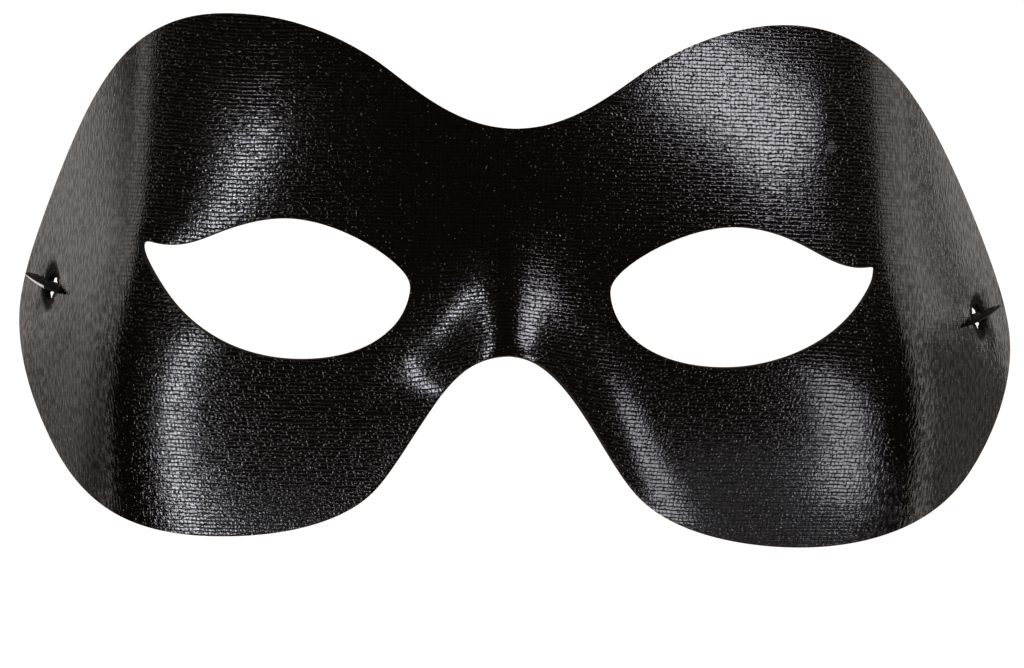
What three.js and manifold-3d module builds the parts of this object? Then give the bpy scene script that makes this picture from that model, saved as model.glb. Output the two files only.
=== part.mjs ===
import * as THREE from 'three';
import { mergeVertices } from 'three/addons/utils/BufferGeometryUtils.js';
import Module from 'manifold-3d';

const wasm = await Module();
wasm.setup();

// A moulded eye mask lying face up on its two wing tips. Millimetres, +Z out of the front,
// +Y to the forehead, X across. The mask is the same on both sides of x = 0.

// Shell
const THICKNESS = 1.2;
const FRONT_HEIGHT = 50.7;      // middle of the brow above the table, before the dome is taken off
const DOME_RADIUS = 92;         // curve from forehead to cheek
const PITCH = 0.106;            // the mask leans this much, forehead up
const TIP_CUT = 0.8;            // how much the two flat spots take off the wing tips

// Half of the outline seen from the front: x, y, direction of travel in degrees,
// handle before, handle after.
const OUTLINE = [
  [0, 26.23, 0, 0, 8.7],             // dip of the brow
  [22.42, 36.74, 38, 8.4, 6.6],
  [48.95, 46.34, 0, 10.3, 13.4],     // top of the brow
  [77.32, 27.56, -57.5, 12.5, 8.7],
  [92.15, -9, -90, 10.3, 11.2],      // rear of the wing
  [82.01, -35.77, -132.5, 5.3, 8.5],
  [52.59, -46.75, 180, 13.6, 12],    // bottom of the cheek
  [21.74, -36.38, 129, 9.8, 10.4],
  [0, -13.32, 180, 9.3, 0],          // arch over the nose
];
const EYE = [
  [64.27, 3.99, 186, 0, 3.9],        // outer corner
  [54.52, 5.61, 155, 4.4, 3.2],
  [40.03, 9.92, 178, 6.5, 9.9],      // upper edge
  [17.43, -1.58, -87, 3.5, 8.4],     // inner corner
  [38.25, -14.52, 2, 11.4, 11.5],    // lower edge
  [64.27, 3.99, 76, 11.7, 0],
];

// How steeply the front falls away to the side: the distances from the middle at which the
// slope reaches each angle, above the eyes and below them. The last angle is the wing's own,
// above and below, and beyond it the wing is straight.
const SLOPES = [0, 15, 25, 45];
const WING_SLOPE = [60, 54];
const REACH_ABOVE = [1.5, 32.5, 53.5, 66.2, 70.6];
const REACH_BELOW = [1.5, 56, 69.3, 75.6, 80.6];
const TURN_Y = -5;              // height at which the one row turns into the other
const TURN_SPAN = 19;

// Nose: a ridge that starts between the eyes and widens down to the arch
const NOSE_TOP = 16.8;
const NOSE_RISE = 23.4;         // height that it would reach over its full length
const NOSE_FULL = 70;
const NOSE_POWER = 1.8;         // how pointed the ridge is
const NOSE_WIDTH = 4.5;
const NOSE_SPREAD = 0.14;       // gain of width per millimetre down
const PRESSED = 0.45;           // share by which its flanks are flatter towards the cheeks
const PRESSED_FROM = -12.5;
const PRESSED_OVER = 14;
const PRESSED_OUT = 8;

// Tie holes in the wings, and the flat spots round them
const HOLE_X = 85.5;
const HOLE_Y = -3.8;
const HOLE_DIAMETER = 5.5;
const FLAT_RADIUS = 8;
const FLAT_BLEND = 6;

// Barbs
const BARB_LENGTH = 14;
const BARB_WIDTH = 2.2;
const BARB_END = 1.1;
const BARB_THICKNESS = 1.2;
const BARB_SHIFT = 1.6;         // lies this far to the rear of the hole
const BARB_TURN = 14;           // degrees, rear end up
const GAP = 0.3;

// Elastic cord
const CORD_DIAMETER = 1.8;
const CORD_SIDES = 8;
const CORD_STEP = 3.6;
const CORD_ENTRY = [0, 3, 6];   // distances straight in from the wing's outer face
// Lay from left to right: x, y and height above the table
const CORD_LAY = [
  [-78.0, -3.6, 2.3], [-74.8, -1.6, 0.3], [-73.4, 5, 0], [-70.5, 15, 0], [-62, 25.5, 0],
  [-47, 32, 0], [-30, 28.5, 0], [-14, 18.5, 0], [1, 14, 0], [16, 18, 0], [31, 28, 0],
  [47, 32.5, 0], [61.5, 26, 0], [70, 15, 0], [73.2, 5, 0], [75, -1.8, 0.3],
  [78.1, -3.7, 2.3],
];

// Mesh
const STATIONS_ROUND = 68;
const RINGS = 9;

const rad = THREE.MathUtils.degToRad;
const clamp = THREE.MathUtils.clamp;
const smooth = (u) => { const v = clamp(u, 0, 1); return v * v * (3 - 2 * v); };

function path(nodes, steps) {
  const points = [];
  for (let i = 0; i + 1 < nodes.length; i++) {
    const [x0, y0, a0, , h0] = nodes[i];
    const [x3, y3, a3, h3] = nodes[i + 1];
    const curve = new THREE.CubicBezierCurve(
      new THREE.Vector2(x0, y0),
      new THREE.Vector2(x0 + h0 * Math.cos(rad(a0)), y0 + h0 * Math.sin(rad(a0))),
      new THREE.Vector2(x3 - h3 * Math.cos(rad(a3)), y3 - h3 * Math.sin(rad(a3))),
      new THREE.Vector2(x3, y3));
    const part = curve.getPoints(steps);
    points.push(...(i ? part.slice(1) : part));
  }
  return points;
}

// Fall of the front and wing at distance t from the middle
function fall(t, y) {
  const turn = Math.tanh((TURN_Y - y) / TURN_SPAN);
  const blend = (a, b) => (a + b + (b - a) * turn) / 2;
  const at = REACH_ABOVE.map((v, i) => blend(v, REACH_BELOW[i]));
  const slopes = [...SLOPES, blend(...WING_SLOPE)];
  let drop = 0;
  for (let i = 0; i + 1 < at.length && t > at[i]; i++) {
    const s = Math.min(t, at[i + 1]) - at[i];
    const k = rad(slopes[i + 1] - slopes[i]) / (at[i + 1] - at[i]);
    const a = rad(slopes[i]);
    drop += Math.log(Math.cos(a) / Math.cos(a + k * s)) / k;
  }
  const last = at[at.length - 1];
  return t > last ? drop + (t - last) * Math.tan(rad(slopes[slopes.length - 1])) : drop;
}

function nose(x, y) {
  const t = Math.abs(x), below = Math.max(0, NOSE_TOP - y);
  const across = Math.exp(-((t / (NOSE_WIDTH + NOSE_SPREAD * below)) ** NOSE_POWER) / 2);
  const flatter = 1 - PRESSED * smooth((PRESSED_FROM - y) / PRESSED_OVER) * smooth(t / PRESSED_OUT);
  return NOSE_RISE * smooth(below / NOSE_FULL) * across * flatter;
}

function raw(x, y) {
  return FRONT_HEIGHT - fall(Math.abs(x), y) - (y * y) / (2 * DOME_RADIUS) + nose(x, y) + PITCH * y;
}

// Tangent plane at the tie hole, blended into the wing round it
const E = 0.05;
const holeZ = raw(HOLE_X, HOLE_Y);
const holeDx = (raw(HOLE_X + E, HOLE_Y) - raw(HOLE_X - E, HOLE_Y)) / (2 * E);
const holeDy = (raw(HOLE_X, HOLE_Y + E) - raw(HOLE_X, HOLE_Y - E)) / (2 * E);

function height(x, y) {
  const z = raw(x, y);
  const dx = Math.abs(x) - HOLE_X, dy = y - HOLE_Y;
  const along = Math.hypot(dx * Math.hypot(1, holeDx), dy);
  const w = 1 - smooth((along - FLAT_RADIUS) / FLAT_BLEND);
  return w > 0 ? z + w * (holeZ + holeDx * dx + holeDy * dy - z) : z;
}

function normal(x, y) {
  const gx = (height(x + E, y) - height(x - E, y)) / (2 * E);
  const gy = (height(x, y + E) - height(x, y - E)) / (2 * E);
  return new THREE.Vector3(-gx, -gy, 1).normalize();
}

// Crossing of a ray from the eye's centre with a path, farthest first
const CENTRE = new THREE.Vector2(39.8, -2.2);
function crossing(points, angle) {
  const d = new THREE.Vector2(Math.cos(angle), Math.sin(angle));
  let best = null, far = -1;
  for (let i = 0; i + 1 < points.length; i++) {
    const p = points[i], q = points[i + 1];
    const e = q.clone().sub(p), r = p.clone().sub(CENTRE);
    const det = e.x * d.y - e.y * d.x;
    if (Math.abs(det) < 1e-12) continue;
    const u = (r.y * d.x - r.x * d.y) / det;
    const s = (e.x * r.y - e.y * r.x) / det;
    if (u >= -1e-9 && u <= 1 + 1e-9 && s > far) { far = s; best = p.clone().addScaledVector(e, u); }
  }
  return best;
}

const outer = path(OUTLINE, 24);
outer.push(outer[0].clone());
const inner = path(EYE, 24);
const angleOf = (p) => {
  const a = Math.atan2(p.y - CENTRE.y, p.x - CENTRE.x);
  return a < 0 ? a + 2 * Math.PI : a;
};

// Angles round the eye, spread evenly along both edges, with the eye's outer corner and the
// two ends of the middle line among them
function spread() {
  const forced = [inner[0], outer[0], outer[outer.length - 2]].map(angleOf);
  const fine = 720, table = [];
  let lo = 0, li = 0, po = null, pi = null;
  for (let i = 0; i <= fine; i++) {
    const a = forced[0] + (2 * Math.PI * i) / fine;
    const o = crossing(outer, a), n = crossing(inner, a);
    if (po) { lo += o.distanceTo(po); li += n.distanceTo(pi); }
    table.push([a, lo, li]);
    po = o; pi = n;
  }
  const share = table.map(([a, o, n]) => [a, o / lo + n / li]);
  const shareAt = (a) => {
    const i = clamp(Math.floor(((a - forced[0]) / (2 * Math.PI)) * fine), 0, fine - 1);
    const w = (a - share[i][0]) / (share[i + 1][0] - share[i][0]);
    return share[i][1] + w * (share[i + 1][1] - share[i][1]);
  };
  const marks = [...forced, forced[0] + 2 * Math.PI];
  const angles = [];
  for (let m = 0; m + 1 < marks.length; m++) {
    const s0 = shareAt(marks[m]), s1 = shareAt(marks[m + 1]);
    const n = Math.max(2, Math.round((STATIONS_ROUND * (s1 - s0)) / 2));
    for (let k = 0; k < n; k++) {
      const want = s0 + ((s1 - s0) * k) / n;
      const j = k === 0 ? -1 : share.findIndex((v) => v[1] > want) - 1;
      angles.push(k === 0 ? marks[m]
        : share[j][0] + ((want - share[j][1]) / (share[j + 1][1] - share[j][1])) * (share[j + 1][0] - share[j][0]));
    }
  }
  return angles;
}

// The edge is cut square to the sheet. Where the inner edge would show past the outer one, the
// outer edge is set back, so that the outline stays the one named above.
function setBack(p, away) {
  if (Math.abs(p.x) < 1e-6) away = new THREE.Vector2(0, Math.sign(away.y));
  const n = normal(p.x, p.y);
  const shows = -THICKNESS * (n.x * away.x + n.y * away.y);
  return shows > 0 ? p.clone().addScaledVector(away, -shows) : p;
}

function outward(points, i, closed) {
  const n = points.length;
  const a = points[closed ? (i - 1 + n) % n : Math.max(0, i - 1)];
  const b = points[closed ? (i + 1) % n : Math.min(n - 1, i + 1)];
  const t = b.clone().sub(a).normalize();
  return new THREE.Vector2(t.y, -t.x);
}

function halfGrid() {
  const angles = spread();
  const n = angles.length;
  const onEye = angles.map((a) => crossing(inner, a));
  const onOut = angles.map((a) => crossing(outer, a));
  const middle = onOut.map((p) => Math.abs(p.x) < 1e-6);
  const first = middle.findIndex((v) => v);
  const last = middle.lastIndexOf(true);
  const eyes = onEye.map((p, i) => setBack(p, outward(onEye, i, true).negate()));
  const outs = onOut.map((p, i) => {
    if (middle[i] && i !== first && i !== last) return p;
    return setBack(p, outward(onOut, i, true));
  });
  for (const i of [first, last]) outs[i].x = 0;
  const grid = [];
  for (let r = 0; r <= RINGS; r++) {
    grid.push(eyes.map((p, i) => p.clone().lerp(outs[i], r / RINGS)));
  }
  return { grid, n };
}

function shell() {
  const { grid, n } = halfGrid();
  const position = [], index = [];
  const add = (v) => { position.push(v.x, v.y, v.z); return position.length / 3 - 1; };
  for (const side of [1, -1]) {
    const front = [], back = [];
    for (const ring of grid) {
      front.push(ring.map((p) => add(new THREE.Vector3(side * p.x, p.y, height(p.x, p.y)))));
      back.push(ring.map((p) => {
        const m = normal(p.x, p.y);
        if (Math.abs(p.x) < 1e-6) m.x = 0;
        const v = new THREE.Vector3(p.x, p.y, height(p.x, p.y)).addScaledVector(m, -THICKNESS);
        v.x *= side;
        return add(v);
      }));
    }
    const quad = (a, b, c, d) => side > 0 ? index.push(a, b, c, a, c, d) : index.push(a, c, b, a, d, c);
    for (let r = 0; r < RINGS; r++) {
      for (let i = 0; i < n; i++) {
        const j = (i + 1) % n;
        quad(front[r][i], front[r + 1][i], front[r + 1][j], front[r][j]);
        quad(back[r][i], back[r][j], back[r + 1][j], back[r + 1][i]);
      }
    }
    for (let i = 0; i < n; i++) {
      const j = (i + 1) % n;
      quad(front[0][i], front[0][j], back[0][j], back[0][i]);
      const seam = Math.abs(grid[RINGS][i].x) < 1e-6 && Math.abs(grid[RINGS][j].x) < 1e-6;
      if (!seam) quad(front[RINGS][j], front[RINGS][i], back[RINGS][i], back[RINGS][j]);
    }
  }
  const geometry = new THREE.BufferGeometry();
  geometry.setAttribute('position', new THREE.Float32BufferAttribute(position, 3));
  geometry.setIndex(index);
  return mergeVertices(geometry, 1e-4);
}

// Frame on a wing's outer face at its tie hole: out of the face, along it to the rear, and up it
function wingFrame(side) {
  const out = normal(HOLE_X, HOLE_Y);
  out.x *= side;
  const rear = new THREE.Vector3(side * out.z, 0, -side * out.x).normalize();
  const up = new THREE.Vector3().crossVectors(out, rear).multiplyScalar(side);
  const at = new THREE.Vector3(side * HOLE_X, HOLE_Y, height(HOLE_X, HOLE_Y));
  return { out, rear, up, at };
}

function solid(geometry) {
  const g = geometry.clone();
  g.deleteAttribute('normal');
  g.deleteAttribute('uv');
  const m = mergeVertices(g, 1e-4);
  return new wasm.Manifold(new wasm.Mesh({
    numProp: 3,
    vertProperties: new Float32Array(m.attributes.position.array),
    triVerts: new Uint32Array(m.index.array),
  }));
}

function toGeometry(manifold) {
  const mesh = manifold.getMesh();
  const g = new THREE.BufferGeometry();
  g.setAttribute('position', new THREE.Float32BufferAttribute(mesh.vertProperties, 3));
  g.setIndex([...mesh.triVerts]);
  g.computeVertexNormals();
  return g;
}

function maskShell() {
  let body = solid(shell());
  for (const side of [1, -1]) {
    const f = wingFrame(side);
    const drill = new THREE.CylinderGeometry(HOLE_DIAMETER / 2, HOLE_DIAMETER / 2, 8, 32);
    const turn = new THREE.Quaternion().setFromUnitVectors(new THREE.Vector3(0, 1, 0), f.out);
    drill.applyMatrix4(new THREE.Matrix4().compose(f.at, turn, new THREE.Vector3(1, 1, 1)));
    body = body.subtract(solid(drill));
  }
  const low = body.boundingBox().min[2] + TIP_CUT;
  const below = new THREE.BoxGeometry(400, 400, 40);
  below.translate(0, 0, low - 20);
  return { body: body.subtract(solid(below)), low };
}

function barb() {
  const f = wingFrame(1);
  const l = BARB_LENGTH / 2, w = BARB_WIDTH, e = BARB_END / 2;
  const shape = new THREE.Shape();
  shape.moveTo(-l + e, -e);
  shape.quadraticCurveTo(0, e - w, l - e, -e);
  shape.absarc(l - e, 0, e, -Math.PI / 2, Math.PI / 2, false);
  shape.quadraticCurveTo(0, w - e, -l + e, e);
  shape.absarc(-l + e, 0, e, Math.PI / 2, 1.5 * Math.PI, false);
  const g = new THREE.ExtrudeGeometry(shape, {
    depth: BARB_THICKNESS - 0.5, bevelEnabled: true, bevelThickness: 0.25, bevelSize: 0.2,
    bevelOffset: -0.2, bevelSegments: 1, curveSegments: 5,
  });
  g.translate(BARB_SHIFT, 0, GAP + 0.25);
  g.rotateZ(rad(BARB_TURN));
  g.applyMatrix4(new THREE.Matrix4().makeBasis(f.rear, f.up, f.out).setPosition(f.at));
  return toGeometry(solid(g));
}

function mirrored(geometry) {
  const g = geometry.clone();
  g.applyMatrix4(new THREE.Matrix4().makeScale(-1, 1, 1));
  const index = g.index.array;
  for (let i = 0; i < index.length; i += 3) [index[i], index[i + 1]] = [index[i + 1], index[i]];
  return g;
}

// The cord leaves each hole inwards, comes down to the table and lies on it
function cord(low) {
  const table = low + CORD_DIAMETER / 2 + 0.05;
  const ends = [-1, 1].map((side) => {
    const f = wingFrame(side);
    return CORD_ENTRY.map((d) => f.at.clone().addScaledVector(f.out, -d));
  });
  const lay = CORD_LAY.map(([x, y, z]) => new THREE.Vector3(x, y, table + z));
  const route = new THREE.CatmullRomCurve3([...ends[0], ...lay, ...ends[1].reverse()], false, 'centripetal');
  const steps = Math.round(route.getLength() / CORD_STEP);
  const points = route.getSpacedPoints(steps);
  for (const p of points) p.z = Math.max(p.z, table);
  const section = new THREE.Shape();
  section.absarc(0, 0, CORD_DIAMETER / 2, 0, 2 * Math.PI, false);
  return new THREE.ExtrudeGeometry(section, {
    steps, curveSegments: CORD_SIDES / 2, bevelEnabled: false,
    extrudePath: new THREE.CatmullRomCurve3(points, false, 'centripetal'),
  });
}

const material = (color, roughness, metalness) =>
  new THREE.MeshStandardMaterial({ color, roughness, metalness });
const cloth = material(0x16161a, 0.45, 0);
const barbFinish = material(0x1c1c1f, 0.3, 0.4);
const elastic = material(0x141416, 0.85, 0);

const mask = new THREE.Group();
mask.name = 'eye_mask';
const { body, low } = maskShell();
const put = (name, geometry, finish) => {
  geometry.translate(0, 0, -low);
  geometry.computeVertexNormals();
  const mesh = new THREE.Mesh(geometry, finish);
  mesh.name = name;
  mask.add(mesh);
};
put('mask_shell', toGeometry(body), cloth);
put('left_barb', mirrored(barb()), barbFinish);
put('right_barb', barb(), barbFinish);
put('elastic_cord', cord(low), elastic);

export default mask;
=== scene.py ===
"""Plain black masquerade eye mask, lying face up on its wing tips, with its elastic cord."""

import math

import bpy
import numpy as np
from mathutils import Matrix, Vector


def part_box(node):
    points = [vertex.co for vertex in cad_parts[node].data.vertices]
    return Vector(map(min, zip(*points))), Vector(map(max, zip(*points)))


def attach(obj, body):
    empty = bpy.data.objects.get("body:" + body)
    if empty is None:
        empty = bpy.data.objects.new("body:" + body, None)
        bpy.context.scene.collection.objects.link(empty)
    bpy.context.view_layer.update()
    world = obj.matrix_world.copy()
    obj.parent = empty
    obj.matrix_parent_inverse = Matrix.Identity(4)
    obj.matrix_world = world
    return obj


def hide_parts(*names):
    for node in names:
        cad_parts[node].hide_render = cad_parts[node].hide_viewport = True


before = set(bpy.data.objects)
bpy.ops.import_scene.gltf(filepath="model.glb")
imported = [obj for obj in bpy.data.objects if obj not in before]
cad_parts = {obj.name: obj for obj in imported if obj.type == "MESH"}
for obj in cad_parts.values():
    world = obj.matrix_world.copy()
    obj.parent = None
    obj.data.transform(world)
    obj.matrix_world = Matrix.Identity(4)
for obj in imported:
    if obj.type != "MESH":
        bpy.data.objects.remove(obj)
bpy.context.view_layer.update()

bl_info = {
    "name": "Masquerade Eye Mask",
    "version": (1, 0, 0),
    "blender": (4, 5, 0),
    "location": "3D View > Sidebar > Eye Mask",
    "description": "Moulds a black half mask of coated cloth, with barbs and an elastic cord",
    "category": "Add Mesh",
}

MM = 0.001

# Outline and eye opening seen from the front, in millimetres: x, y, direction of travel in
# degrees, handle before, handle after
OUTLINE = [
    (0, 26.23, 0, 0, 8.7),
    (22.42, 36.74, 38, 8.4, 6.6),
    (48.95, 46.34, 0, 10.3, 13.4),
    (77.32, 27.56, -57.5, 12.5, 8.7),
    (92.15, -9, -90, 10.3, 11.2),
    (82.01, -35.77, -132.5, 5.3, 8.5),
    (52.59, -46.75, 180, 13.6, 12),
    (21.74, -36.38, 129, 9.8, 10.4),
    (0, -13.32, 180, 9.3, 0),
]
EYE = [
    (64.27, 3.99, 186, 0, 3.9),
    (54.52, 5.61, 155, 4.4, 3.2),
    (40.03, 9.92, 178, 6.5, 9.9),
    (17.43, -1.58, -87, 3.5, 8.4),
    (38.25, -14.52, 2, 11.4, 11.5),
    (64.27, 3.99, 76, 11.7, 0),
]
EYE_CENTRE = (39.8, -2.2)

# How steeply the front falls away to the side: the distances from the middle at which the
# slope reaches each angle, above the eyes and below them, and how the one row turns into the
# other. The last angle is the wing's own, above and below.
SLOPES = np.radians([0, 15, 25, 45])
WING_SLOPE = np.radians([60, 54])
REACH_ABOVE = np.array([1.5, 32.5, 53.5, 66.2, 70.6])
REACH_BELOW = np.array([1.5, 56, 69.3, 75.6, 80.6])
TURN_Y, TURN_SPAN = -5, 19
DOME_RADIUS = 92
PITCH = 0.106

# The nose's ridge: where it starts, how high it would rise over what length, and its shape to
# each side, with the width at the top and its gain per millimetre down. The left flank of this
# mask is pressed flatter towards the cheek, by a share that grows over a length and a width.
NOSE_TOP, NOSE_RISE, NOSE_FULL, NOSE_POWER = 16.8, 23.4, 70, 1.8
NOSE_WIDTH = {-1: (2.4, 0.2), 1: (4.4, 0.12)}
PRESSED = {-1: 0.68, 1: 0.0}
PRESSED_FROM, PRESSED_OVER, PRESSED_OUT = -13.5, 8.3, 6

# The wings of this mask are sprung a little out of line: how far each point at the end of a
# wing moves along x and along y, as constant, linear and square parts of y / 40 mm
SPRUNG = {-1: ((1.6, -1.8, -0.7), (1.6, 1.6, 0.1)), 1: ((0.0, 0.4, 0.0), (-0.9, 0.0, 0.8))}
SPRUNG_FROM = ((60, 88), (45, 80))
CORNER_PULL = {-1: (-1.35, 0.65), 1: (0.3, -0.1)}
CORNER_REACH = 4

# How far the outer corner of an eye opening stays sharp, in millimetres
CORNER_SHARP = 1.2

# Tie holes
HOLE = (85.5, -3.8)
HOLE_DIAMETER = 5.5
FLAT_RADIUS, FLAT_BLEND = 8, 6

# A small scuff on the brow of this mask, and how far its dullness, and the dullness and painted shade
# round a tie hole, reach across and up
SCUFF = (56.3, 24.7)
SCUFF_REACH, CRUSHED_AND_SHADED_REACH = (1.1, 1.1), (3.2, 4.5)

# Route of the cord on the table, from left to right: x, y and height above the table
CORD_ENTRY = (0, 3, 6)
CORD_LAY = [
    (-78.0, -3.6, 2.3), (-74.8, -1.6, 0.3), (-73.4, 5, 0), (-70.5, 15, 0), (-62, 25.5, 0),
    (-47, 32, 0), (-30, 28.5, 0), (-14, 18.5, 0), (1, 14, 0), (16, 18, 0), (31, 28, 0),
    (47, 32.5, 0), (61.5, 26, 0), (70, 15, 0), (73.2, 5, 0), (75, -1.8, 0.3),
    (78.1, -3.7, 2.3),
]

# The barbs, in millimetres: piece, node, half length, how far the middle lies to the rear of the
# hole, share of the full width, and degrees that the bar leans. Then the half width and half
# height at the ends and what the middle has more, and how far the bar lies above the wing.
BARBS = {
    1: ("barb_right", "right_barb", 7.6, 0.2, 0.62, 15),
    -1: ("barb_left", "left_barb", 7.7, 1.6, 1.0, 13),
}
BARB_WIDTH, BARB_HEIGHT, BARB_STANDS = (0.34, 0.5), (0.4, 0.2), (0.62, 0.28)
BARB_CUTS = (-0.75, -0.5, -0.25, 0, 0.25, 0.5, 0.75)
# Where the painted highlight of bright metal runs along the left barb's lower edge, in the rod's own
# measure
HIGHLIGHT_BELOW, HIGHLIGHT_FROM = -0.5, -0.2

# How the cloth dips round a tie hole: depth, and its reach along and up the wing. Then the depth of
# its wrinkles, how far from the hole they stand and how wide they are, where it all ends, and the
# width of the slit as a share of its height.
DIP_DEPTH, DIP_REACH = 0.4, (2.8, 4.2)
WRINKLE_DEPTH, WRINKLE_AT, WRINKLE_WIDTH = 0.16, 3.6, 1.6
PUCKER_REACH = 9
SLIT_WIDTH = 0.8

# Mesh of the shell: points round the eye, and rings from the eye to the outline
POINTS_ROUND, RINGS = 96, 12

# Where the weave gives way to fine streaks, in millimetres along the cloth from the middle
DRAWN_FROM, DRAWN_TO = 66.0, 78.0

# The photograph's view: looking straight down, turned a little, in millimetres and degrees
CAMERA_HEIGHT = 936
CAMERA_AIM = (0.45, -9.5)
CAMERA_ROLL = 1.13
CAMERA_LENS = 179

# Cards on the floor beside the wings that glow dimmer than the floor, as painted shade of the floor that
# the wings
# mirror: corners, and how bright each is at its lower and its upper edge
SHADE_CARDS = [
    ("shade_card_right_low", ((98, -70), (170, 2)), (0.3, 0.3)),
    ("shade_card_right_near", ((97, 2), (107, 60)), (0.4, 0.4)),
    ("shade_card_left_high", ((-170, 4), (-97, 75)), (1.0, 0.0)),
    ("shade_card_left_low", ((-170, -75), (-97, 4)), (0.0, 1.0)),
    ("shade_card_left_far", ((-420, -220), (-170, -8)), (0.25, 0.45)),
]

# Soft lights: direction in degrees to the right and to the top, size in degrees, turn, strength
# and colour. They stand this far off, in metres.
COOL, NEUTRAL = (0.84, 0.89, 1.0), (0.84, 0.87, 1.0)
SOFT_BOXES = [
    ("left_high", (-46.5, 14.5), (3, 18), -17, 18.0, COOL),
    ("left_low", (-47.9, -35.5), (4.8, 52), -8.5, 12.0, COOL),
    ("right_high", (41.3, 29.8), (16.5, 29), 41, 8.8, NEUTRAL),
    ("right_low", (47.5, -34.8), (11, 32), 13.6, 5.2, NEUTRAL),
    ("front_fill", (30, -64), (72, 42), 0, 0.28, NEUTRAL),
]
LIGHT_DISTANCE = 1.2
FLOOR_GLOW, ROOM_GLOW = (1.14, 1.05, 1.0, 1), (0.02, 0.016, 0.013, 1)


# The mask's form

def smooth(u):
    v = np.clip(u, 0, 1)
    return v * v * (3 - 2 * v)


def fall(t, y):
    """How far the front and wing lie below the middle, at distance t from it."""
    turn = np.tanh((TURN_Y - y) / TURN_SPAN)
    knots = [(a + b + (b - a) * turn) / 2 for a, b in zip(REACH_ABOVE, REACH_BELOW)]
    slopes = [*SLOPES, (WING_SLOPE.sum() + (WING_SLOPE[1] - WING_SLOPE[0]) * turn) / 2]
    drop = np.zeros_like(t)
    for i in range(4):
        wide = knots[i + 1] - knots[i]
        s = np.clip(t - knots[i], 0, wide)
        k = (slopes[i + 1] - slopes[i]) / wide
        drop += np.log(np.cos(slopes[i]) / np.cos(slopes[i] + k * s)) / k
    return drop + np.maximum(t - knots[4], 0) * np.tan(slopes[4])


def nose(x, y):
    """Height that the nose's ridge adds."""
    below = np.maximum(0, NOSE_TOP - y)
    wide = {side: top + gain * below for side, (top, gain) in NOSE_WIDTH.items()}
    width = np.where(x < 0, wide[-1], wide[1])
    pressed = np.where(x < 0, PRESSED[-1], PRESSED[1])
    flatter = 1 - pressed * smooth((PRESSED_FROM - y) / PRESSED_OVER) * smooth(np.abs(x) / PRESSED_OUT)
    ridge = np.exp(-((np.abs(x) / width) ** NOSE_POWER) / 2)
    return NOSE_RISE * smooth(below / NOSE_FULL) * ridge * flatter


def raw(x, y):
    """Height of the front as it is before a flat is made round each tie hole."""
    return nose(x, y) - fall(np.abs(x), y) - y * y / (2 * DOME_RADIUS) + PITCH * y


def slope(form, x, y, e=0.05):
    """Rise of a form along x and along y."""
    return (form(x + e, y) - form(x - e, y)) / (2 * e), (form(x, y + e) - form(x, y - e)) / (2 * e)


HOLE_X, HOLE_Y = (np.array([float(v)]) for v in HOLE)
HOLE_Z = raw(HOLE_X, HOLE_Y)
HOLE_DX, HOLE_DY = slope(raw, HOLE_X, HOLE_Y)


def form(x, y):
    """Height of the mask's front over the plan, in millimetres, with a flat round each hole."""
    x, y = np.atleast_1d(np.asarray(x, float)), np.atleast_1d(np.asarray(y, float))
    z = raw(x, y)
    dx, dy = np.abs(x) - HOLE_X, y - HOLE_Y
    w = 1 - smooth((np.hypot(dx * math.hypot(1, HOLE_DX[0]), dy) - FLAT_RADIUS) / FLAT_BLEND)
    return z + w * (HOLE_Z + HOLE_DX * dx + HOLE_DY * dy - z)


# The highest point is the nose at the arch, and the table is at zero
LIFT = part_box("mask_shell")[1][2] / MM - form(0, OUTLINE[-1][1])[0]


def height(x, y):
    return form(x, y) + LIFT


def normals(x, y):
    gx, gy = slope(height, np.atleast_1d(x).astype(float), np.atleast_1d(y).astype(float))
    n = np.stack([-gx, -gy, np.ones_like(gx)], -1)
    return n / np.linalg.norm(n, axis=-1, keepdims=True)


def spring(x, y):
    """Where a point of the symmetrical mask lies on this one, seen from the front."""
    x, y = np.atleast_1d(np.asarray(x, float)), np.atleast_1d(np.asarray(y, float))
    moved = []
    for axis in (0, 1):
        start, end = SPRUNG_FROM[axis]
        share = smooth((np.abs(x) - start) / (end - start))
        pull = sum(
            np.where(x < 0, left, right) * (y / 40) ** k
            for k, (left, right) in enumerate(zip(SPRUNG[-1][axis], SPRUNG[1][axis])))
        moved.append(share * pull)
    close = np.exp(-((np.abs(x) - EYE[0][0]) ** 2 + (y - EYE[0][1]) ** 2) / (2 * CORNER_REACH**2))
    for axis in (0, 1):
        moved[axis] += close * np.where(x < 0, CORNER_PULL[-1][axis], CORNER_PULL[1][axis])
    return x + moved[0], y + moved[1]


def along_cloth(x, y):
    """Lengths along the cloth: across from the middle, and up with the cloth drawn over the nose."""
    x, y = np.atleast_1d(np.asarray(x, float)), np.atleast_1d(np.asarray(y, float))
    t = np.abs(x)[:, None] * np.linspace(0, 1, 81)
    z = height(t.ravel(), np.repeat(y, 81)).reshape(t.shape)
    u = np.hypot(np.diff(t, axis=1), np.diff(z, axis=1)).sum(1) * np.sign(x)
    return u, y * (1 + y * y / (6 * DOME_RADIUS**2)) - 0.35 * nose(x, y)


def path(nodes, steps=40):
    """Points along the curve through the named nodes."""
    points = []
    for (x0, y0, a0, _, h0), (x3, y3, a3, h3, _) in zip(nodes[:-1], nodes[1:]):
        a0, a3 = math.radians(a0), math.radians(a3)
        p0, p3 = np.array([x0, y0]), np.array([x3, y3])
        p1 = p0 + h0 * np.array([math.cos(a0), math.sin(a0)])
        p2 = p3 - h3 * np.array([math.cos(a3), math.sin(a3)])
        t = np.linspace(0, 1, steps + 1)[1 if points else 0:, None]
        s = 1 - t
        points.extend(s**3 * p0 + 3 * s**2 * t * p1 + 3 * s * t * t * p2 + t**3 * p3)
    return np.array(points)


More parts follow.
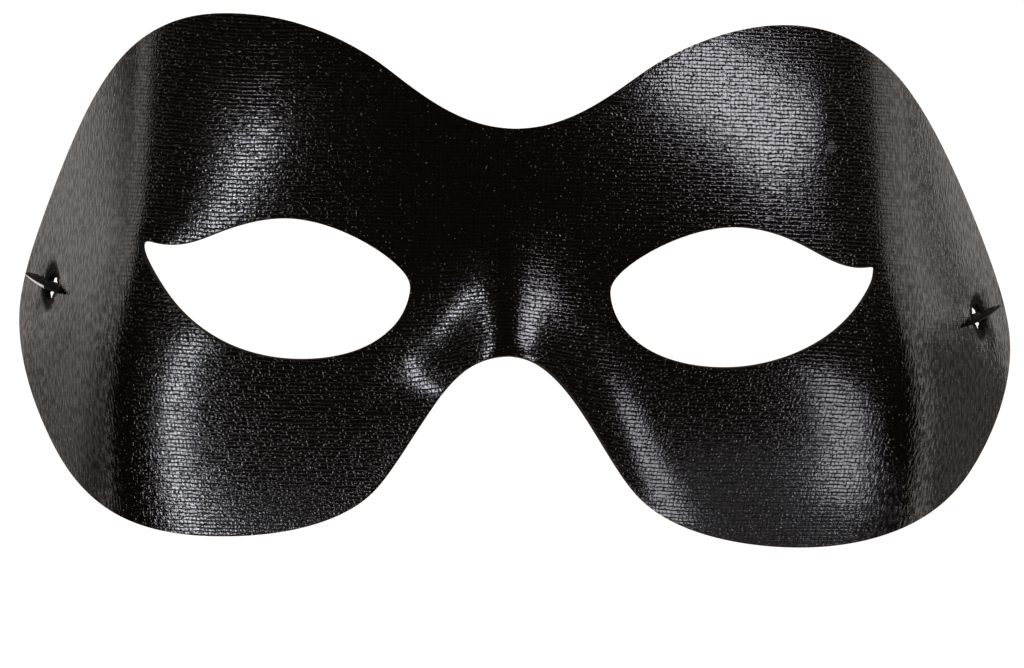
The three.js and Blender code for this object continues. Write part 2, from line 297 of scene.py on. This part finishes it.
def crossing(points, angles):
    """Where rays from the eye's centre meet a path, farthest crossing first."""
    centre = np.array(EYE_CENTRE)
    p, e = points[:-1] - centre, np.diff(points, axis=0)
    found = []
    for a in angles:
        d = np.array([math.cos(a), math.sin(a)])
        det = e[:, 0] * d[1] - e[:, 1] * d[0]
        det[np.abs(det) < 1e-12] = 1e-12
        u = (p[:, 1] * d[0] - p[:, 0] * d[1]) / det
        s = (e[:, 0] * p[:, 1] - e[:, 1] * p[:, 0]) / det
        ok = (u >= -1e-9) & (u <= 1 + 1e-9) & (s > 0)
        k = np.nonzero(ok)[0][np.argmax(s[ok])]
        found.append(centre + p[k] + e[k] * u[k])
    return np.array(found)


def set_back(points, away, thickness):
    """Moves an edge back where the square-cut inner edge would show past it."""
    shows = -thickness * (normals(points[:, 0], points[:, 1])[:, :2] * away).sum(1)
    return points - away * np.maximum(shows, 0)[:, None]


def outward(points):
    """Direction square to a closed path at each of its points, to the right of its travel."""
    t = np.roll(points, -1, 0) - np.roll(points, 1, 0)
    t /= np.linalg.norm(t, axis=1, keepdims=True)
    return np.stack([t[:, 1], -t[:, 0]], 1)


def share_along(points):
    """Share of a path's length that lies before each of its points."""
    steps = np.linalg.norm(np.diff(points, axis=0), axis=1)
    return np.r_[0, np.cumsum(steps)] / steps.sum()


def rings_round_eye(count, rings, thickness):
    """Points of rings from the eye opening out to the outline and the middle line."""
    outer = path(OUTLINE)
    outer = np.vstack([outer, outer[:1]])
    inner = path(EYE)
    marks = [
        math.atan2(q[1] - EYE_CENTRE[1], q[0] - EYE_CENTRE[0]) % (2 * math.pi)
        for q in (inner[0], outer[0], outer[-2])]
    # Once round in quarters of a degree
    fine = np.linspace(marks[0], marks[0] + 2 * math.pi, 4 * 360 + 1)
    far, near = crossing(outer, fine), crossing(inner, fine)
    share = (share_along(far) + share_along(near)) / 2
    stops = np.interp([*marks, fine[-1]], fine, share)
    angles = []
    for s0, s1 in zip(stops[:-1], stops[1:]):
        n = max(2, round(count * (s1 - s0)))
        angles.extend(np.interp(np.linspace(s0, s1, n + 1)[:-1], share, fine))
    far, near = crossing(outer, angles), crossing(inner, angles)
    middle = np.abs(far[:, 0]) < 1e-6
    ends = [np.argmin(np.abs(np.array(angles) - m)) for m in marks[1:]]
    near = set_back(near, -outward(near), thickness)
    away = outward(far)
    # On the middle line the edge faces straight up and straight down
    for i in ends:
        away[i] = (0, np.sign(far[i, 1] - EYE_CENTRE[1]))
    moved = set_back(far, away, thickness)
    keep = middle.copy()
    keep[ends] = False
    moved[keep] = far[keep]
    moved[middle, 0] = 0
    return [near + (moved - near) * r / rings for r in range(rings + 1)]


# Small helps for modelling

def begin():
    """Object mode with nothing selected."""
    if bpy.context.object and bpy.context.object.mode != "OBJECT":
        bpy.ops.object.mode_set(mode="OBJECT")
    bpy.ops.object.select_all(action="DESELECT")


def alone(piece):
    begin()
    piece.select_set(True)
    bpy.context.view_layer.objects.active = piece


def finish_with(piece, kind, **settings):
    """Adds a modifier with these settings and applies it."""
    alone(piece)
    modifier = piece.modifiers.new(kind.title(), kind)
    for key, value in settings.items():
        setattr(modifier, key, value)
    bpy.ops.object.modifier_apply(modifier=modifier.name)


def coordinates(mesh):
    co = np.empty(len(mesh.vertices) * 3)
    mesh.vertices.foreach_get("co", co)
    return co.reshape(-1, 3)


def place(mesh, co):
    mesh.vertices.foreach_set("co", np.asarray(co, float).ravel())
    mesh.update()


def wing_frame(side):
    """At a tie hole: the place on the outer face, out of it, along it to the rear, and up it."""
    n = normals(HOLE[0], HOLE[1])[0]
    out = Vector((side * n[0], n[1], n[2]))
    rear = Vector((side * out.z, 0, -side * out.x)).normalized()
    up = out.cross(rear) * side
    x, y = spring(side * HOLE[0], HOLE[1])
    at = Vector((x[0], y[0], height(*HOLE)[0])) * MM
    return at, out, rear, up


# Materials

def principled(name, color, roughness, specular=0.5):
    material = bpy.data.materials.new(name)
    material.use_nodes = True
    shader = material.node_tree.nodes["Principled BSDF"]
    shader.inputs["Base Color"].default_value = (*color, 1)
    shader.inputs["Roughness"].default_value = roughness
    shader.inputs["Specular IOR Level"].default_value = specular
    return material, material.node_tree, shader


class Recipe:
    """Short way to write a chain of nodes."""

    def __init__(self, tree):
        self.tree = tree

    def node(self, kind, **settings):
        made = self.tree.nodes.new(kind)
        for key, value in settings.items():
            setattr(made, key, value)
        return made

    def link(self, source, target):
        if isinstance(source, (int, float)):
            target.default_value = source
        else:
            self.tree.links.new(source, target)

    def sum(self, kind, a, b=None):
        made = self.node("ShaderNodeMath", operation=kind)
        for value, socket in zip((a, b), made.inputs):
            if value is not None:
                self.link(value, socket)
        return made.outputs[0]

    def noise(self, vector, scale, detail=2.0, rough=0.5):
        made = self.node("ShaderNodeTexNoise")
        self.link(vector, made.inputs["Vector"])
        made.inputs["Scale"].default_value = scale
        made.inputs["Detail"].default_value = detail
        made.inputs["Roughness"].default_value = rough
        return made.outputs[0]

    def spread(self, value, low, high, to_low, to_high, kind="LINEAR"):
        """The value carried over from one range to another."""
        made = self.node("ShaderNodeMapRange", interpolation_type=kind)
        for v, socket in zip((value, low, high, to_low, to_high), made.inputs):
            self.link(v, socket)
        return made.outputs[0]

    def stretched(self, vector, scale):
        made = self.node("ShaderNodeMapping")
        self.link(vector, made.inputs["Vector"])
        made.inputs["Scale"].default_value = scale
        return made.outputs[0]

    def parted(self, vector):
        """The three parts of a vector."""
        made = self.node("ShaderNodeSeparateXYZ")
        self.link(vector, made.inputs[0])
        return made.outputs

    def embossed(self, shader, relief, depth):
        """Relief of this depth in metres on the surface."""
        bump = self.node("ShaderNodeBump")
        bump.inputs["Strength"].default_value = 1.0
        bump.inputs["Distance"].default_value = depth
        self.link(relief, bump.inputs["Height"])
        self.link(bump.outputs[0], shader.inputs["Normal"])

    def two_tone(self, shader, value, low, dark, high, light):
        """Colour that goes from dark to light between two values."""
        tint = self.node("ShaderNodeValToRGB")
        self.link(value, tint.inputs[0])
        for stop, at, color in zip(tint.color_ramp.elements, (low, high), (dark, light)):
            stop.position, stop.color = at, (*color, 1)
        self.link(tint.outputs[0], shader.inputs["Base Color"])


def rounded(r, at, pitch):
    """Cross-section of round threads side by side."""
    return r.sum("ABSOLUTE", r.sum("COSINE", r.sum("MULTIPLY", at, math.pi / pitch)))


def thread(r, at, pitch, low, high):
    """Cross-section of threads side by side: 1 on their flat crowns, 0 in the valleys between."""
    return r.spread(rounded(r, at, pitch), low, high, 0.0, 1.0, "SMOOTHSTEP")


def close_to(r, across, up, spot, reach):
    """1 at a spot of the cloth and 0 beyond an oval round it, with a ragged border."""
    squares = []
    for at, c, d in zip((across, up), spot, reach):
        far = r.sum("ABSOLUTE", r.sum("DIVIDE", r.sum("SUBTRACT", at, c), d))
        squares.append(r.sum("POWER", far, 2.0))
    return r.spread(r.sum("SQRT", r.sum("ADD", *squares)), 0.85, 1.2, 1.0, 0.0)


def coated_cloth(look):
    """Black plain weave under a thin gloss coat. The weave map holds millimetres along the cloth."""
    material, tree, shader = principled("coated_cloth", look.cloth_color, look.gloss_roughness, 0.95)
    r = Recipe(tree)
    uv = r.node("ShaderNodeUVMap", uv_map="weave").outputs[0]
    across, up = r.parted(uv)[:2]
    # The threads wander a little from their straight lines
    wander_u = r.sum("SUBTRACT", r.noise(r.stretched(uv, (0.15, 0.9, 1)), 1.0), 0.5)
    wander_v = r.sum("SUBTRACT", r.noise(r.stretched(uv, (0.30, 0.45, 1)), 1.0, 3.0, 0.6), 0.5)
    u = r.sum("ADD", across, r.sum("MULTIPLY", wander_u, 0.9))
    v = r.sum("ADD", up, r.sum("MULTIPLY", wander_v, 0.7))
    warp = thread(r, u, look.warp_pitch / MM, 0.1, 0.7)
    weft = thread(r, v, look.weft_pitch / MM, 0.1, 0.8)
    # The coat has filled the valleys here and there
    patches = r.noise(r.stretched(uv, (0.55, 1.3, 1)), 1.0, 1.0, 0.5)
    filled = r.spread(patches, 0.36, 0.6, 0.45, 1.0)
    rows = r.sum("MULTIPLY", r.sum("SUBTRACT", weft, 1.0), filled)
    patches = r.noise(r.stretched(uv, (1.3, 0.6, 1)), 1.0, 1.0, 0.5)
    open_between = r.spread(patches, 0.38, 0.62, 0.15, 0.85)
    columns = r.sum("MULTIPLY", r.sum("SUBTRACT", warp, 1.0), open_between)
    grain = r.noise(uv, 2.2, 1.5, 0.6)
    speck = r.sum("POWER", r.noise(uv, 2.7, 0.0, 0.5), 8.0)
    # Towards the wings the cloth is drawn smooth, and its warp shows as fine streaks
    out = r.sum("ABSOLUTE", across)
    drawn = r.spread(out, DRAWN_FROM, DRAWN_TO, 0.0, 1.0)
    fibre = r.noise(r.stretched(uv, (1.8, 0.6, 1)), 1.0, 1.0, 0.5)
    streak = r.spread(fibre, 0.42, 0.58, r.spread(drawn, 0.0, 1.0, 0.8, 0.0), 1.0)
    rows = r.sum("MULTIPLY", rows, r.spread(drawn, 0.0, 1.0, 1.0, 0.25))
    woven = r.sum("ADD", r.sum("MULTIPLY", rows, 0.45), r.sum("MULTIPLY", columns, 0.12))
    woven = r.sum("ADD", woven, r.sum("MULTIPLY", fibre, r.sum("MULTIPLY", drawn, 2.0)))
    specks = r.sum("MULTIPLY", speck, r.spread(drawn, 0.0, 1.0, 6.5, 3.0))
    relief = r.sum("ADD", woven, r.sum("ADD", r.sum("MULTIPLY", grain, 0.6), specks))
    # The coat is crushed and dull round the tie holes, and scuffed in one small spot. Round the holes
    # its reflection is also cut almost away, as painted shade of the dented cloth
    ragged = r.sum("MULTIPLY", r.sum("SUBTRACT", r.noise(uv, 1.6, 2.0, 0.6), 0.5), 2.6)
    hole, scuff = ([float(c[0]) for c in along_cloth(*spot)] for spot in (HOLE, SCUFF))
    crushed_and_shaded = close_to(r, r.sum("ADD", out, ragged), up, hole, CRUSHED_AND_SHADED_REACH)
    scuffed = close_to(r, across, r.sum("ADD", up, ragged), scuff, SCUFF_REACH)
    # Reflection painted darker in the weave's valleys, as painted shade between the threads
    painted_valley_shade = r.sum("MULTIPLY", r.sum("ADD", rows, 1.0), r.sum("ADD", columns, 1.0))
    # Round the tie holes the reflection falls to a twentieth: painted shade of the dent
    sheen_with_painted_shade = r.sum("MULTIPLY", r.sum("MULTIPLY", painted_valley_shade, streak), r.spread(crushed_and_shaded, 0.0, 1.0, 1.0, 0.05))
    tint = r.node("ShaderNodeVectorMath", operation="SCALE")
    tint.inputs[0].default_value = (1.0, 0.95, 0.91)
    r.link(sheen_with_painted_shade, tint.inputs["Scale"])
    # The plain value stands in wherever the link is not kept
    shader.inputs["Specular Tint"].default_value = (0.6, 0.57, 0.55, 1)
    r.link(tint.outputs[0], shader.inputs["Specular Tint"])
    valley = r.spread(rows, -0.75, -0.25, 0.45, look.gloss_roughness)
    dull = r.sum("MAXIMUM", r.sum("MULTIPLY", crushed_and_shaded, 0.9), r.sum("MULTIPLY", scuffed, 0.42))
    r.link(r.sum("MAXIMUM", valley, dull), shader.inputs["Roughness"])
    r.embossed(shader, relief, look.weave_relief)
    return material


def cloth_lining(look):
    """Uncoated back of the cloth."""
    material, tree, shader = principled("cloth_lining", (0.022, 0.021, 0.021), 0.85, 0.3)
    r = Recipe(tree)
    uv = r.node("ShaderNodeUVMap", uv_map="weave").outputs[0]
    across, up = r.parted(uv)[:2]
    warp, weft = rounded(r, across, look.warp_pitch / MM), rounded(r, up, look.weft_pitch / MM)
    fluff = r.noise(uv, 3.5, 4.0, 0.7)
    relief = r.sum("ADD", r.sum("MULTIPLY", warp, weft), r.sum("MULTIPLY", fluff, 1.2))
    r.embossed(shader, relief, look.weave_relief * 1.6)
    r.two_tone(shader, fluff, 0.3, (0.014, 0.013, 0.013), 0.75, (0.034, 0.032, 0.031))
    return material


def cut_edge():
    """Edge of the sheet where the die cut it: black, with a fibrous core."""
    material, tree, shader = principled("cut_edge", (0.008, 0.008, 0.008), 0.85, 0.12)
    r = Recipe(tree)
    at = r.node("ShaderNodeTexCoord").outputs["Object"]
    fibre = r.noise(at, 2200, 3.0, 0.6)
    r.embossed(shader, fibre, 0.00006)
    r.two_tone(shader, fibre, 0.35, (0.003, 0.003, 0.003), 0.75, (0.02, 0.018, 0.016))
    return material


def painted_highlight_edge():
    """Bright metal along one edge of the left barb: a painted highlight where a lamp catches the black
    edge.
    """
    material, tree, shader = principled("painted_highlight_edge", (0.62, 0.61, 0.6), 0.3)
    shader.inputs["Metallic"].default_value = 1.0
    r = Recipe(tree)
    gloss_patches = r.noise(r.node("ShaderNodeTexCoord").outputs["Object"], 2400, 2.0, 0.6)
    r.link(r.spread(gloss_patches, 0.35, 0.65, 0.2, 0.5), shader.inputs["Roughness"])
    return material


def barb_black():
    """Smooth black of the barbs, faintly scuffed along them."""
    material, tree, shader = principled("barb_black", (0.003, 0.003, 0.003), 0.45)
    shader.inputs["IOR"].default_value = 1.06
    r = Recipe(tree)
    at = r.node("ShaderNodeTexCoord").outputs["Object"]
    scuffs = r.noise(r.stretched(at, (900, 2600, 900)), 1.0, 3.0, 0.6)
    r.link(r.spread(scuffs, 0.35, 0.75, 0.3, 0.55), shader.inputs["Roughness"])
    r.embossed(shader, scuffs, 0.00002)
    return material


def elastic_braid():
    """Round elastic with a braided cover."""
    material, tree, shader = principled("elastic_braid", (0.012, 0.012, 0.012), 0.7, 0.35)
    r = Recipe(tree)
    at = r.node("ShaderNodeTexCoord").outputs["Object"]
    wave = r.node("ShaderNodeTexWave", bands_direction="DIAGONAL")
    r.link(at, wave.inputs["Vector"])
    wave.inputs["Scale"].default_value = 520
    wave.inputs["Distortion"].default_value = 1.5
    r.embossed(shader, wave.outputs["Fac"], 0.0001)
    return material


def soft_box(name, toward, spread, turn, strength, color):
    """A soft light in the direction of two angles from straight up, to the right and to the top. It
    covers so many degrees each way as seen from the mask, and is turned in its own plane."""
    across, rise = (math.radians(v) for v in toward)
    back = Vector((math.sin(across) * math.cos(rise), math.sin(rise), math.cos(across) * math.cos(rise)))
    right = Vector((math.cos(across), 0, -math.sin(across)))
    near = Vector((math.copysign(50, across), 0, 45)) * MM
    begin()
    bpy.ops.object.light_add(type="AREA")
    lamp = bpy.context.object
    lamp.name = name
    facing = Matrix((right, back.cross(right), back)).transposed()
    turned = facing @ Matrix.Rotation(math.radians(turn), 3, "Z")
    lamp.matrix_world = Matrix.Translation(near + back * LIGHT_DISTANCE) @ turned.to_4x4()
    lamp.data.shape = "RECTANGLE"
    sides = (2 * LIGHT_DISTANCE * math.tan(math.radians(v) / 2) for v in spread)
    lamp.data.size, lamp.data.size_y = sides
    lamp.data.energy = strength * math.pi * lamp.data.size * lamp.data.size_y
    lamp.data.color = color
    lamp.visible_camera = False


def painted_shade_card(name, low, high, levels):
    """A card on the floor that the camera doesn't see, glowing dimmer than the floor: painted shade of
    the floor in what a wing mirrors, by a level that goes from the first at its lower edge to the second
    at its upper edge."""
    begin()
    bpy.ops.mesh.primitive_grid_add(x_subdivisions=8, y_subdivisions=8, size=1)
    card = bpy.context.object
    card.name = name
    low, high = Vector((*low, 0.4)) * MM, Vector((*high, 0.4)) * MM
    size = Matrix.Diagonal((*(high - low).xy, 1, 1))
    card.data.transform(Matrix.Translation((low + high) / 2) @ size)
    # Its dim glow is painted shade of the floor, seen only in the wings' reflections
    material, tree, shader = principled(name, (0.03, 0.03, 0.03), 0.9, 0.0)
    shader.inputs["Emission Color"].default_value = (1, 0.93, 0.88, 1)
    r = Recipe(tree)
    up = r.parted(r.node("ShaderNodeTexCoord").outputs["Object"])[1]
    r.link(r.spread(up, low.y, high.y, *levels), shader.inputs["Emission Strength"])
    card.data.materials.append(material)
    card.visible_camera = False


# Sizes and colours that a user would change

class EyeMaskLook(bpy.types.PropertyGroup):
    thickness: bpy.props.FloatProperty(
        name="Shell thickness", description="Thickness of the moulded sheet",
        default=0.0012, min=0.0005, max=0.003, unit="LENGTH", precision=4)
    warp_pitch: bpy.props.FloatProperty(
        name="Warp pitch", description="Distance between the threads that run up the mask",
        default=0.00078, min=0.0003, max=0.002, unit="LENGTH", precision=5)
    weft_pitch: bpy.props.FloatProperty(
        name="Weft pitch", description="Distance between the threads that run across the mask",
        default=0.00074, min=0.0003, max=0.002, unit="LENGTH", precision=5)
    weave_relief: bpy.props.FloatProperty(
        name="Weave relief", description="Height of the threads under the coat",
        default=0.000034, min=0.0, max=0.0004, unit="LENGTH", precision=6)
    cloth_color: bpy.props.FloatVectorProperty(
        name="Cloth colour", description="Colour of the coated cloth",
        default=(0.0040, 0.0026, 0.0016), min=0, max=1, subtype="COLOR")
    gloss_roughness: bpy.props.FloatProperty(
        name="Gloss roughness", description="How matt the gloss coat is",
        default=0.06, min=0, max=1, subtype="FACTOR")
    cord_diameter: bpy.props.FloatProperty(
        name="Cord diameter", description="Diameter of the elastic cord",
        default=0.0018, min=0.001, max=0.004, unit="LENGTH", precision=4)


# Operators

class EYEMASK_OT_camera(bpy.types.Operator):
    """Place the camera straight above the mask, as in the photograph"""
    bl_idname = "eyemask.camera"
    bl_label = "Camera"

    def execute(self, context):
        begin()
        x, y = CAMERA_AIM
        bpy.ops.object.camera_add(
            location=(x * MM, y * MM, CAMERA_HEIGHT * MM), rotation=(0, 0, math.radians(CAMERA_ROLL)))
        camera = context.object
        camera.name = "photo_camera"
        camera.data.lens = CAMERA_LENS
        camera.data.sensor_width = 36
        camera.data.clip_start, camera.data.clip_end = 0.01, 30
        context.scene.camera = camera
        return {"FINISHED"}


class EYEMASK_OT_cord(bpy.types.Operator):
    """Lay the elastic cord from one tie hole to the other under the mask"""
    bl_idname = "eyemask.cord"
    bl_label = "Elastic cord"

    def execute(self, context):
        begin()
        diameter = context.scene.eye_mask.cord_diameter
        table = diameter / 2 + 0.05 * MM
        ends = []
        for side in (-1, 1):
            at, out, _, _ = wing_frame(side)
            ends.append([at - out * d * MM for d in CORD_ENTRY])
        lay = [Vector((x * MM, y * MM, table + z * MM)) for x, y, z in CORD_LAY]
        route = ends[0] + lay + ends[1][::-1]
        curve = bpy.data.curves.new("elastic_cord_round", "CURVE")
        curve.dimensions = "3D"
        spline = curve.splines.new("BEZIER")
        spline.bezier_points.add(len(route) - 1)
        for k, point in enumerate(spline.bezier_points):
            before, after = route[max(k - 1, 0)], route[min(k + 1, len(route) - 1)]
            point.co = route[k]
            point.handle_left_type = point.handle_right_type = "FREE"
            run = (after - before).normalized()
            point.handle_left = route[k] - run * (route[k] - before).length / 3
            point.handle_right = route[k] + run * (after - route[k]).length / 3
            for handle in (point.handle_left, point.handle_right):
                handle.z = max(handle.z, table)
        curve.bevel_depth = diameter / 2
        curve.bevel_resolution = 4
        curve.resolution_u = 8
        curve.use_fill_caps = True
        cord = bpy.data.objects.new("elastic_cord_round", curve)
        context.collection.objects.link(cord)
        curve.materials.append(elastic_braid())
        # The curve is about a hundredth longer than the straight steps between its points
        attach(cord, "root")
        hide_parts("elastic_cord")
        return {"FINISHED"}


class EYEMASK_OT_barbs(bpy.types.Operator):
    """Shape a barb from a rod on each wing"""
    bl_idname = "eyemask.barbs"
    bl_label = "Barbs"

    def execute(self, context):
        finishes = barb_black(), painted_highlight_edge()
        for side, (name, node, reach, shift, slim, lean) in BARBS.items():
            begin()
            bpy.ops.mesh.primitive_cylinder_add(
                vertices=16, radius=1, depth=2, end_fill_type="NGON", rotation=(0, math.pi / 2, 0))
            barb = context.object
            bpy.ops.object.transform_apply(location=False, rotation=True, scale=False)
            barb.name = name
            finish_with(
                barb, "BEVEL", width=0.12, segments=3, limit_method="ANGLE",
                angle_limit=math.radians(50))
            alone(barb)
            bpy.ops.object.mode_set(mode="EDIT")
            for at in BARB_CUTS:
                bpy.ops.mesh.select_all(action="SELECT")
                bpy.ops.mesh.bisect(plane_co=(at, 0, 0), plane_no=(1, 0, 0))
            bpy.ops.object.mode_set(mode="OBJECT")
            co = coordinates(barb.data)
            t = co[:, 0]
            sizes = (BARB_WIDTH, BARB_HEIGHT, BARB_STANDS)
            wide, high, stands = (ends + more * (1 - t * t) for ends, more in sizes)
            if side < 0:
                # Faces along the lower edge of the left barb take the bright metal of the painted
                # highlight
                for face in barb.data.polygons:
                    face.material_index = int(face.center.y < HIGHLIGHT_BELOW and face.center.x > HIGHLIGHT_FROM)
            shaped = [t * reach + shift, co[:, 1] * wide * slim, co[:, 2] * high + stands]
            place(barb.data, np.stack(shaped, -1))
            at, out, rear, up = wing_frame(side)
            turn = Matrix((rear, up, out)).transposed().to_4x4()
            turn = turn @ Matrix.Rotation(math.radians(lean), 4, "Z")
            barb.data.transform(Matrix.Translation(at) @ turn @ Matrix.Scale(MM, 4))
            if turn.determinant() < 0:
                barb.data.flip_normals()
            for finish in finishes:
                barb.data.materials.append(finish)
            alone(barb)
            bpy.ops.object.shade_smooth_by_angle(angle=math.radians(60))
            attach(barb, "root")
            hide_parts(node)
        return {"FINISHED"}


class EYEMASK_OT_shell(bpy.types.Operator):
    """Mould the shell: rings extruded round one eye, mirrored, pressed to form and thickened"""
    bl_idname = "eyemask.shell"
    bl_label = "Mask shell"

    def execute(self, context):
        look = context.scene.eye_mask
        rings = rings_round_eye(POINTS_ROUND, RINGS, look.thickness / MM)
        n = len(rings[0])
        begin()
        bpy.ops.mesh.primitive_circle_add(vertices=n, radius=0.03)
        shell = context.object
        shell.name = "mask_skin"
        place(shell.data, np.c_[rings[0] * MM, np.zeros(n)])
        for k, ring in enumerate(rings[1:], 1):
            alone(shell)
            bpy.ops.object.mode_set(mode="EDIT")
            if k == 1:
                bpy.ops.mesh.select_all(action="SELECT")
            bpy.ops.mesh.extrude_region_move(
                MESH_OT_extrude_region={}, TRANSFORM_OT_translate={"value": (0, 0, 0)})
            bpy.ops.object.mode_set(mode="OBJECT")
            mesh = shell.data
            co = coordinates(mesh)
            co[k * n:] = np.c_[ring * MM, np.zeros(n)]
            place(mesh, co)
        finish_with(shell, "MIRROR", use_clip=True, merge_threshold=1e-6)
        alone(shell)
        bpy.ops.object.mode_set(mode="EDIT")
        bpy.ops.mesh.select_all(action="SELECT")
        bpy.ops.mesh.normals_make_consistent(inside=False)
        bpy.ops.object.mode_set(mode="OBJECT")
        mesh = shell.data
        if sum(p.normal.z for p in mesh.polygons) < 0:
            mesh.flip_normals()
        co = coordinates(mesh)
        x, y = co[:, 0] / MM, co[:, 1] / MM
        self.map_weave(mesh, x, y)
        place(mesh, np.stack([*spring(x, y), height(x, y)], -1) * MM)
        for finish in (coated_cloth(look), cloth_lining(look), cut_edge()):
            mesh.materials.append(finish)
        finish_with(
            shell, "SOLIDIFY", thickness=look.thickness, offset=-1, use_even_offset=True,
            material_offset=1, material_offset_rim=2, edge_crease_inner=0.75, edge_crease_outer=0.75)
        self.keep_corners(shell)
        finish_with(shell, "SUBSURF", levels=2, render_levels=2)
        self.pucker(shell)
        self.punch(shell)
        co = coordinates(shell.data)
        co[:, 2] = np.maximum(co[:, 2], 0)
        place(shell.data, co)
        alone(shell)
        bpy.ops.object.shade_smooth_by_angle(angle=math.radians(42))
        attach(shell, "root")
        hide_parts("mask_shell")
        return {"FINISHED"}

    @staticmethod
    def map_weave(mesh, x, y):
        """UV map of the weave, in millimetres."""
        u, v = along_cloth(x, y)
        layer = mesh.uv_layers.new(name="weave")
        loops = np.empty(len(mesh.loops), int)
        mesh.loops.foreach_get("vertex_index", loops)
        layer.data.foreach_set("uv", np.stack([u[loops], v[loops]], -1).ravel())

    @staticmethod
    def keep_corners(shell):
        """The eye's outer corners stay sharp through the thickness."""
        mesh = shell.data
        crease = mesh.attributes.get("crease_edge")
        crease = crease or mesh.attributes.new("crease_edge", "FLOAT", "EDGE")
        x, y = coordinates(mesh)[:, :2].T / MM
        near = np.hypot(np.abs(x) - EYE[0][0], y - EYE[0][1]) < CORNER_SHARP
        for edge in mesh.edges:
            if all(near[i] for i in edge.vertices):
                crease.data[edge.index].value = 1.0

    @staticmethod
    def pucker(shell):
        """The cloth dips and wrinkles round each tie hole, where the barb pulls on it."""
        co = coordinates(shell.data)
        for side in (-1, 1):
            at, out, rear, up = wing_frame(side)
            d = co - np.array(at)
            a, b, c = (d @ np.array(v) / MM for v in (rear, up, out))
            far = np.hypot(a, b)
            close = (np.abs(c) < 3) & (far < PUCKER_REACH)
            dip = -DIP_DEPTH * np.exp(-((a / DIP_REACH[0]) ** 2) - ((b / DIP_REACH[1]) ** 2))
            wrinkle = WRINKLE_DEPTH * np.cos(3 * np.arctan2(b, a) + 0.6)
            wrinkle *= np.exp(-(((far - WRINKLE_AT) / WRINKLE_WIDTH) ** 2))
            co[close] += (np.array(out)[None] * (dip + wrinkle)[close, None]) * MM
        place(shell.data, co)

    @staticmethod
    def punch(shell):
        """The tie holes: ragged slits, a little narrower than high."""
        for side in (-1, 1):
            at, out, rear, up = wing_frame(side)
            begin()
            bpy.ops.mesh.primitive_cylinder_add(
                vertices=48, radius=HOLE_DIAMETER / 2 * MM, depth=8 * MM, location=at,
                rotation=out.to_track_quat("Z", "Y").to_euler())
            drill = bpy.context.object
            bpy.ops.object.transform_apply()
            co = coordinates(drill.data)
            a, b, c = ((co - np.array(at)) @ np.array(v) for v in (rear, up, out))
            turn = np.arctan2(b, a)
            ragged = 0.92 + 0.05 * np.sin(5 * turn + side)
            ragged += 0.04 * np.sin(11 * turn) + 0.03 * np.sin(17 * turn + 2)
            place(drill.data, np.array(at) + sum(
                np.outer(w, np.array(v)) for w, v in (
                    (a * ragged * SLIT_WIDTH, rear), (b * ragged, up), (c, out))))
            drill.data.materials.append(shell.data.materials[2])
            finish_with(
                shell, "BOOLEAN", operation="DIFFERENCE", object=drill, solver="EXACT",
                material_mode="TRANSFER")
            bpy.data.objects.remove(drill)


class EYEMASK_OT_stage(bpy.types.Operator):
    """Lay the pale floor and set the studio lights"""
    bl_idname = "eyemask.stage"
    bl_label = "Floor and lights"

    def execute(self, context):
        begin()
        bpy.ops.mesh.primitive_circle_add(
            vertices=96, radius=6, fill_type="NGON", location=(0, 0, -0.0002))
        floor = context.object
        floor.name = "floor"
        material, _, shader = principled("white_floor", (0.06, 0.06, 0.06), 0.9, 0.0)
        shader.inputs["Emission Color"].default_value = FLOOR_GLOW
        shader.inputs["Emission Strength"].default_value = 1.0
        floor.data.materials.append(material)
        # Cards that glow dimmer than the floor: painted shade of the floor in the wings' reflections
        for name, (low, high), levels in SHADE_CARDS:
            painted_shade_card(name, low, high, levels)
        for light in SOFT_BOXES:
            soft_box(*light)
        world = bpy.data.worlds.new("studio")
        context.scene.world = world
        world.use_nodes = True
        background = world.node_tree.nodes["Background"]
        background.inputs[0].default_value = ROOM_GLOW
        background.inputs[1].default_value = 1.0
        context.scene.view_settings.view_transform = "Standard"
        return {"FINISHED"}


class EYEMASK_PT_panel(bpy.types.Panel):
    """Sidebar panel of the eye mask"""
    bl_idname = "EYEMASK_PT_panel"
    bl_label = "Eye Mask"
    bl_space_type = "VIEW_3D"
    bl_region_type = "UI"
    bl_category = "Eye Mask"

    def draw(self, context):
        look = context.scene.eye_mask
        for key in EyeMaskLook.__annotations__:
            self.layout.prop(look, key)
        for operator in OPERATORS:
            self.layout.operator(operator.bl_idname)


OPERATORS = (EYEMASK_OT_camera, EYEMASK_OT_barbs, EYEMASK_OT_cord, EYEMASK_OT_shell, EYEMASK_OT_stage)
CLASSES = (EyeMaskLook, *OPERATORS, EYEMASK_PT_panel)


def register():
    for c in CLASSES:
        bpy.utils.register_class(c)
    bpy.types.Scene.eye_mask = bpy.props.PointerProperty(type=EyeMaskLook)


def unregister():
    del bpy.types.Scene.eye_mask
    for c in reversed(CLASSES):
        bpy.utils.unregister_class(c)


def main():
    register()
    bpy.ops.eyemask.camera()
    bpy.ops.eyemask.barbs()
    bpy.ops.eyemask.cord()
    bpy.ops.eyemask.shell()
    bpy.ops.eyemask.stage()


if __name__ == "__main__":
    main()
